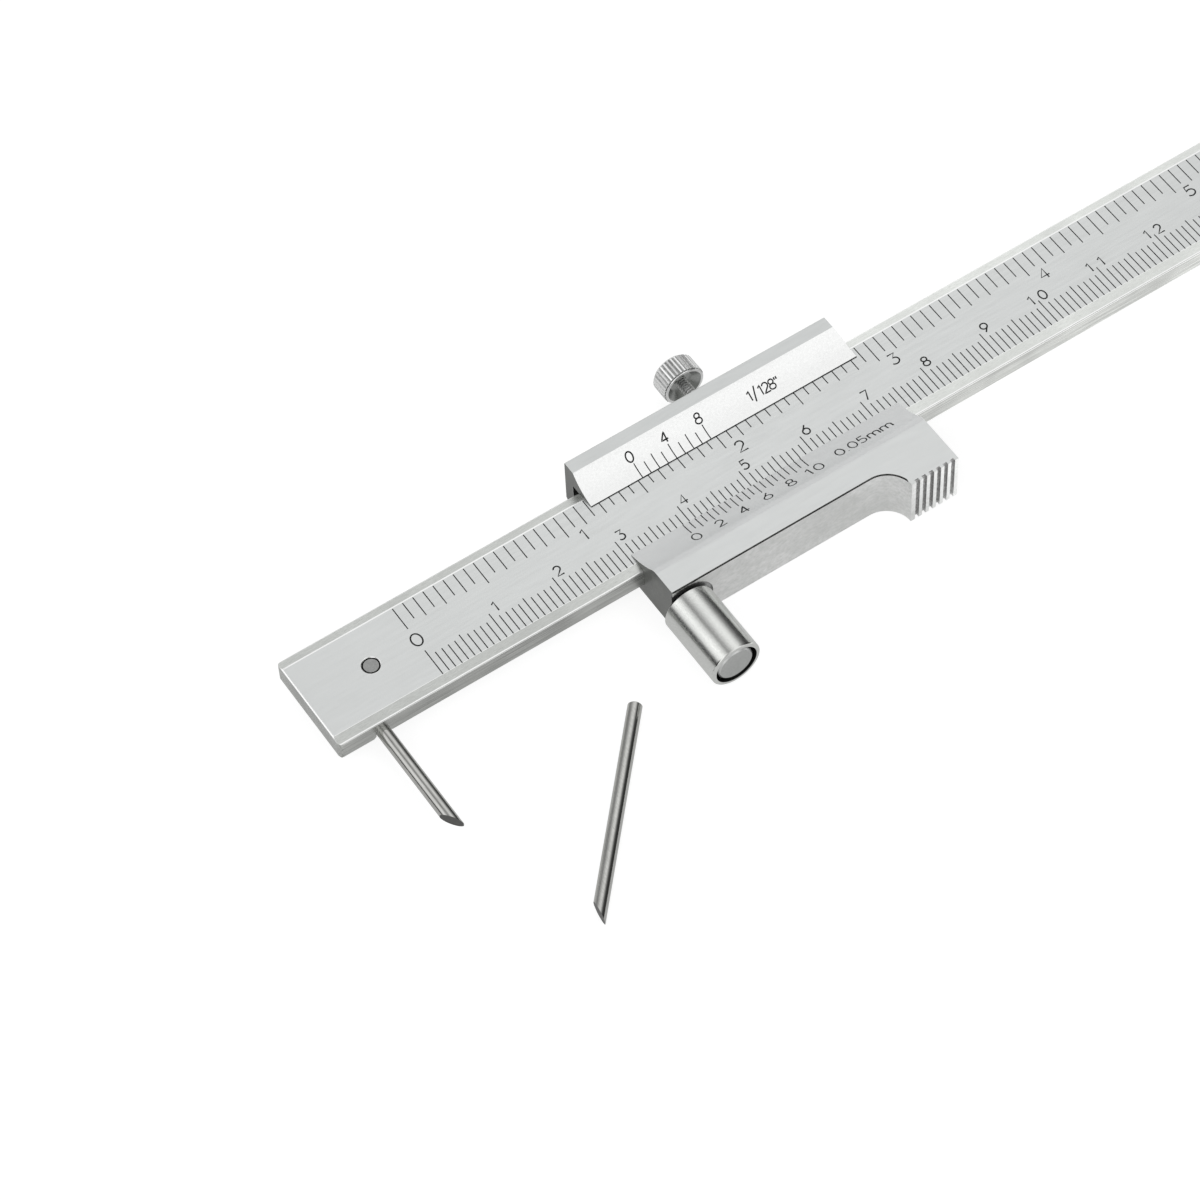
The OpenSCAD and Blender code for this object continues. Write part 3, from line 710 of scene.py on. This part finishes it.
def vernier_slider():
    piece = merged_copy("slider_body", "vernier_slider")
    finish_faces(piece, slider_finishes(), ground_side)
    piece.data.materials.append(painted_edge_highlight)
    piece.data.materials.append(painted_edge_shadow)
    bevel_slider(piece)
    smooth(piece)
    upper, lower = on_slope(UPPER_SLOPE), on_slope(LOWER_SLOPE)

    def cutter(name, strokes, place, width):
        return stroke_cutter(name, [in_short_steps(stroke) for stroke in strokes], place, width)

    def hanging(x, y, lift):
        """The lower slope is read from below, so its arc runs down the page."""
        return lower(x, -y, lift)

    metric_ticks = [[(x, -y) for x, y in tick]
                    for tick in vernier_ticks(METRIC_VERNIER_STEP, 20, METRIC_VERNIER_TICKS)]
    engrave(piece, [
        cutter("inch_ticks", vernier_ticks(INCH_VERNIER_STEP, 8, INCH_VERNIER_TICKS), upper, TICK_WIDTH),
        cutter("metric_ticks", metric_ticks, hanging, TICK_WIDTH),
        cutter("inch_numerals", inch_vernier_numerals(), upper, NUMERAL_WIDTH),
        cutter("metric_numerals", metric_vernier_numerals(), hanging, NUMERAL_WIDTH),
    ])
    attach(piece, "slider")
    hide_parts("slider_body")


# ---------------------------------------------------------------- the lock screw's thread
def thread_cutter():
    """A coil with a V section, for a thread along the stud between the rail and the knob."""
    outer = STUD_RADIUS + THREAD_OVERRUN
    depth = STUD_RADIUS - THREAD_ROOT
    flare = THREAD_PITCH / 2 * THREAD_FLANK_SHARE * (1 + THREAD_OVERRUN / depth)
    section = [(THREAD_ROOT, 0), (outer, flare), (outer, -flare)]
    profile = bpy.data.meshes.new("thread_cutter")
    profile.from_pydata([(x * MM, 0, z * MM) for x, z in section], [(0, 1), (1, 2), (2, 0)], [])
    # The thread's cut faces carry painted shade.
    profile.materials.append(thread_root_painted_shade)
    cutter = placed("thread_cutter", profile)
    turns = round((THREAD_END - THREAD_START) / THREAD_PITCH)
    apply_modifier(cutter, "SCREW", angle=2 * math.pi, screw_offset=THREAD_PITCH * MM, iterations=turns,
                   steps=THREAD_STEPS, render_steps=THREAD_STEPS, axis="Z", use_merge_vertices=False)
    make_active(cutter)
    bpy.ops.object.mode_set(mode="EDIT")
    bpy.ops.mesh.select_all(action="DESELECT")
    bpy.ops.mesh.select_mode(type="EDGE")
    bpy.ops.mesh.select_non_manifold()
    bpy.ops.mesh.edge_face_add()
    bpy.ops.mesh.select_all(action="SELECT")
    bpy.ops.mesh.normals_make_consistent(inside=False)
    bpy.ops.object.mode_set(mode="OBJECT")
    start = Matrix.Translation(Vector((STUD_X, THREAD_START, STUD_Z)) * MM)
    cutter.data.transform(start @ Matrix.Rotation(-math.pi / 2, 4, "X"))
    return cutter


def threaded_stud():
    piece = merged_copy("lock_stud", "threaded_stud")
    finish_faces(piece, [], turned_bright)
    cut_away(piece, thread_cutter())
    make_active(piece)
    bpy.ops.object.shade_smooth_by_angle(angle=math.radians(35))
    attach(piece, "lock_screw")
    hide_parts("lock_stud")


def end_ringed_screw():
    """The clamp screw, with painted shade on the chamfer round the end that shows in the beam's face."""
    piece = merged_copy("clamp_screw", "end_ringed_screw")
    # Painted shade on the chamfer and side of the screw's end.
    finish_faces(piece, [(painted_deep_shade, lambda p, n: p.z > 3 and n.z < 0.95)], dull_screw)
    smooth(piece)
    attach(piece, "clamp_screw")
    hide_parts("clamp_screw")


def radius_about(axis):
    return lambda p: math.dist((p.x, p.z), axis)


def finished_turning(node_name, name, body, rules, otherwise):
    """A turned piece whose recesses and chamfers have finishes of their own, painted shade among them."""
    piece = merged_copy(node_name, name)
    finish_faces(piece, rules, otherwise)
    smooth(piece)
    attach(piece, body)
    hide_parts(node_name)


def roller_and_pin():
    out = radius_about(ROLLER_AXIS)
    finished_turning("guide_roller", "polished_roller", "roller", [
        # Painted shade in the recess at the roller's end.
        (painted_deep_shade, lambda p, n: out(p) < ROLLER_RECESS_RADIUS and p.y > ROLLER_RECESS_START),
    ], roller_finish)
    finished_turning("roller_pin", "headed_pin", "slider", [
        (pin_face, lambda p, n: n.y < -0.95),
        (ground_back, lambda p, n: n.y < -0.5),
    # Painted shade on the rest of the pin, round its head.
    ], painted_deep_shade)


def fluted_knob():
    """The lock screw's knob: bright lands, flutes darkened as painted shade, a dull dished inner face and a
    plain outer one.
    """
    out = radius_about((STUD_X, STUD_Z))

    def is_land(p, n):
        radial = Vector((p.x - STUD_X, 0, p.z - STUD_Z)).normalized()
        return Vector(n).dot(radial) > 0.985 or abs(n.y) > 0.3

    finished_turning("lock_knob", "fluted_knob", "lock_screw", [
        (dished_face, lambda p, n: n.y < -0.2 and out(p) < KNOB_DISH_RADIUS and p.y > KNOB_FACE + 0.02),
        (ground_back, lambda p, n: n.y > 0.9),
        (knob_land, is_land),
    ], flute_painted_shade)


def needle_with_point(node_name, name, body):
    """A needle whose ground face is dull and dark beside its polished sides."""
    piece = merged_copy(node_name, name)
    finish_faces(piece, [], needle_finish)
    piece.data.materials.append(ground_point)
    end_area = math.pi * (NEEDLE_RADIUS * MM) ** 2
    largest = max((f for f in piece.data.polygons if len(f.vertices) > 30 and
                   f.area > 1.05 * end_area), key=lambda f: f.area)
    largest.material_index = 1
    smooth(piece)
    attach(piece, body)
    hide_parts(node_name)


# ---------------------------------------------------------------- the pieces whose CAD shape stays
def refinish(node_name, material):
    piece = nodes[node_name]
    piece.data.materials.clear()
    piece.data.materials.append(material)


# ---------------------------------------------------------------- the stage
def photo_camera():
    azimuth, elevation, roll = map(math.radians, (CAMERA_AZIMUTH, CAMERA_ELEVATION, CAMERA_ROLL))
    back = Vector((math.sin(azimuth) * math.cos(elevation), -math.cos(azimuth) * math.cos(elevation),
                   math.sin(elevation)))
    level = Vector((math.cos(azimuth), math.sin(azimuth), 0))
    upright = back.cross(level)
    right = math.cos(roll) * level + math.sin(roll) * upright
    up = -math.sin(roll) * level + math.cos(roll) * upright
    camera_data = bpy.data.cameras.new("photo_camera")
    camera_data.lens, camera_data.sensor_width = CAMERA_LENS, SENSOR
    camera_data.clip_start, camera_data.clip_end = 0.01, 20
    camera = placed("photo_camera", camera_data)
    eye = Vector(CAMERA_TARGET) * MM + back * CAMERA_DISTANCE * MM
    camera.matrix_world = Matrix.Translation(eye) @ Matrix((right, up, back)).transposed().to_4x4()
    bpy.context.scene.camera = camera


def white_table():
    """A pale floor: the camera sees it white, with the object's shadow kept, and gloss sees a glow on it that
    is painted brighter along X.
    """
    deselect_all()
    bpy.ops.mesh.primitive_plane_add(size=TABLE_SIZE, location=(0, 0, -TABLE_DROP * MM))
    floor = bpy.context.active_object
    floor.name = "table"
    material, tree, shader = new_material("table_white")
    shader.inputs["Roughness"].default_value = 0.9
    shader.inputs["Specular IOR Level"].default_value = 0.0
    shader.inputs["Base Color"].default_value = (0.3, 0.3, 0.3, 1)
    paths = tree.nodes.new("ShaderNodeLightPath")
    seen = tree.nodes.new("ShaderNodeMath")
    seen.operation = "MAXIMUM"
    tree.links.new(paths.outputs["Is Camera Ray"], seen.inputs[0])
    tree.links.new(paths.outputs["Is Glossy Ray"], seen.inputs[1])
    glow = tree.nodes.new("ShaderNodeEmission")
    parts = tree.nodes.new("ShaderNodeSeparateXYZ")
    tree.links.new(millimetre_coordinates(tree), parts.inputs["Vector"])
    level = tree.nodes.new("ShaderNodeMix")
    tree.links.new(paths.outputs["Is Camera Ray"], level.inputs["Factor"])
    # Painted light: the glow that gloss sees is ramped brighter along X.
    tree.links.new(spread(tree, parts.outputs["X"], *TABLE_PAINTED_GLOW, TABLE_PAINTED_GLOW_X), level.inputs["A"])
    level.inputs["B"].default_value = TABLE_SEEN
    tree.links.new(level.outputs["Result"], glow.inputs["Strength"])
    bare = tree.nodes.new("ShaderNodeBsdfDiffuse")
    bare.inputs["Color"].default_value = (0.8, 0.8, 0.8, 1)
    both = tree.nodes.new("ShaderNodeAddShader")
    tree.links.new(shader.outputs["BSDF"], both.inputs[0])
    tree.links.new(glow.outputs["Emission"], both.inputs[1])
    choose = tree.nodes.new("ShaderNodeMixShader")
    tree.links.new(seen.outputs["Value"], choose.inputs["Fac"])
    tree.links.new(bare.outputs["BSDF"], choose.inputs[1])
    tree.links.new(both.outputs["Shader"], choose.inputs[2])
    tree.links.new(choose.outputs["Shader"], tree.nodes["Material Output"].inputs["Surface"])
    floor.data.materials.append(material)


def studio_light():
    """A white tent whose panels differ in brightness along X, for the metal to reflect."""
    world = bpy.data.worlds.new("tent")
    bpy.context.scene.world = world
    world.use_nodes = True
    tree = world.node_tree
    background = tree.nodes["Background"]
    background.inputs["Strength"].default_value = 1.0
    direction = tree.nodes.new("ShaderNodeTexCoord")
    parts = tree.nodes.new("ShaderNodeSeparateXYZ")
    tree.links.new(direction.outputs["Generated"], parts.inputs["Vector"])
    ramp = tree.nodes.new("ShaderNodeValToRGB")
    while len(ramp.color_ramp.elements) < len(TENT_PANELS):
        ramp.color_ramp.elements.new(0.5)
    for element, (along_x, level) in zip(ramp.color_ramp.elements, TENT_PANELS):
        share = level / TENT_BRIGHTEST
        element.position, element.color = (along_x + 1) / 2, (share, share, share, 1)
    tree.links.new(spread(tree, parts.outputs["X"], 0, 1, (-1, 1)), ramp.inputs["Fac"])
    front = spread(tree, parts.outputs["Y"], TENT_BRIGHTEST * TENT_FRONT_GAIN, TENT_BRIGHTEST, (-0.7, -0.1))
    panels = tree.nodes.new("ShaderNodeVectorMath")
    panels.operation = "SCALE"
    tree.links.new(ramp.outputs["Color"], panels.inputs[0])
    tree.links.new(front, panels.inputs["Scale"])
    paths = tree.nodes.new("ShaderNodeLightPath")
    mix = tree.nodes.new("ShaderNodeMix")
    mix.data_type = "RGBA"
    tree.links.new(paths.outputs["Is Camera Ray"], mix.inputs["Factor"])
    tree.links.new(panels.outputs["Vector"], mix.inputs["A"])
    mix.inputs["B"].default_value = (1, 1, 1, 1)
    tree.links.new(mix.outputs["Result"], background.inputs["Color"])


photo_camera()
white_table()
studio_light()
graduated_beam()
vernier_slider()
threaded_stud()
end_ringed_screw()
roller_and_pin()
fluted_knob()
needle_with_point("scriber_needle", "scriber_with_point", "scriber")
needle_with_point("spare_needle", "spare_with_point", "spare_needle")
# The gib strip is near black as painted shade, and so is the roller's spacer.
for node_name, finish in (
        ("clamp_plate", ground_side), ("gib_strip", painted_shade_strip), ("roller_spacer", painted_deep_shade)):
    refinish(node_name, finish)

bpy.context.scene.view_settings.view_transform = "Standard"
